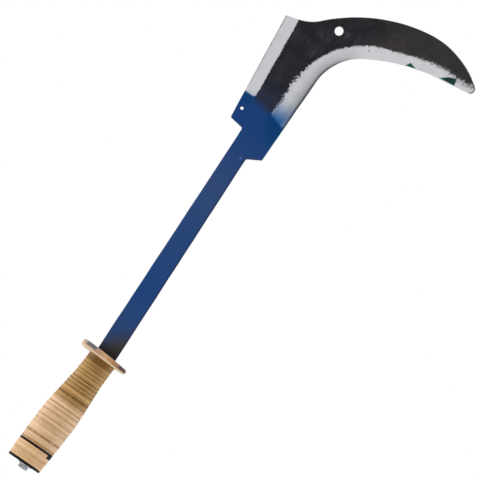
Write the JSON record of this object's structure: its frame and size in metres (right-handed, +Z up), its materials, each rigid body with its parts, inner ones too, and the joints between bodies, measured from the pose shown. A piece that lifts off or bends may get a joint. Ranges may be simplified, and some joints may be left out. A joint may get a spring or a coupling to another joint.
{
  "type": "billhook",
  "caption": "Billhook with a hooked blade ground along its inner edge and its back, a long flat painted shank, a leather disc guard and a grip of stacked leather washers.",
  "frame": {"origin": "middle of the hanging hole, halfway through the blade's thickness", "axes": "+Z up along the shank to the blade, +X to the beak, Y square to the blade's flat"},
  "size_m": [0.2017, 0.0536, 0.5928],
  "materials": {
    "blade": "blue paint on the shank and the head's foot, black forge scale above it, bare ground bevels",
    "guard_leather": "thick brown leather with a rounded rim",
    "dark_leather": "sanded leather, darkened under the guard",
    "tan_leather": "sanded pale leather edges with dark layer lines",
    "black_plate": "black steel plate, satin",
    "bright_steel": "bright zinc-coated nut and washer"
  },
  "bodies": {
    "root": {"blade": "blade", "guard_disc": "guard_leather", "grip_washer_01": "dark_leather", "grip_washer_02": "dark_leather", "grip_washer_03": "dark_leather", "grip_washer_04": "dark_leather", "grip_washer_05": "dark_leather", "grip_washer_06": "dark_leather", "grip_washer_07": "dark_leather", "grip_washer_08": "dark_leather", "grip_washer_09": "dark_leather", "grip_washer_10": "dark_leather", "grip_washer_11": "dark_leather", "grip_washer_12": "dark_leather", "grip_washer_13": "dark_leather", "grip_washer_14": "tan_leather", "grip_washer_15": "tan_leather", "grip_washer_16": "tan_leather", "grip_washer_17": "tan_leather", "grip_washer_18": "tan_leather", "grip_washer_19": "tan_leather", "grip_washer_20": "tan_leather", "grip_washer_21": "tan_leather", "grip_washer_22": "tan_leather", "grip_washer_23": "tan_leather", "grip_washer_24": "tan_leather", "grip_washer_25": "tan_leather", "grip_washer_26": "tan_leather", "keeper_plate": "black_plate", "pommel_washer_01": "tan_leather", "pommel_washer_02": "tan_leather", "pommel_washer_03": "tan_leather", "pommel_washer_04": "tan_leather", "butt_plate": "black_plate", "tang_washer": "bright_steel", "tang_nut": "bright_steel"}
  },
  "joints": []
}
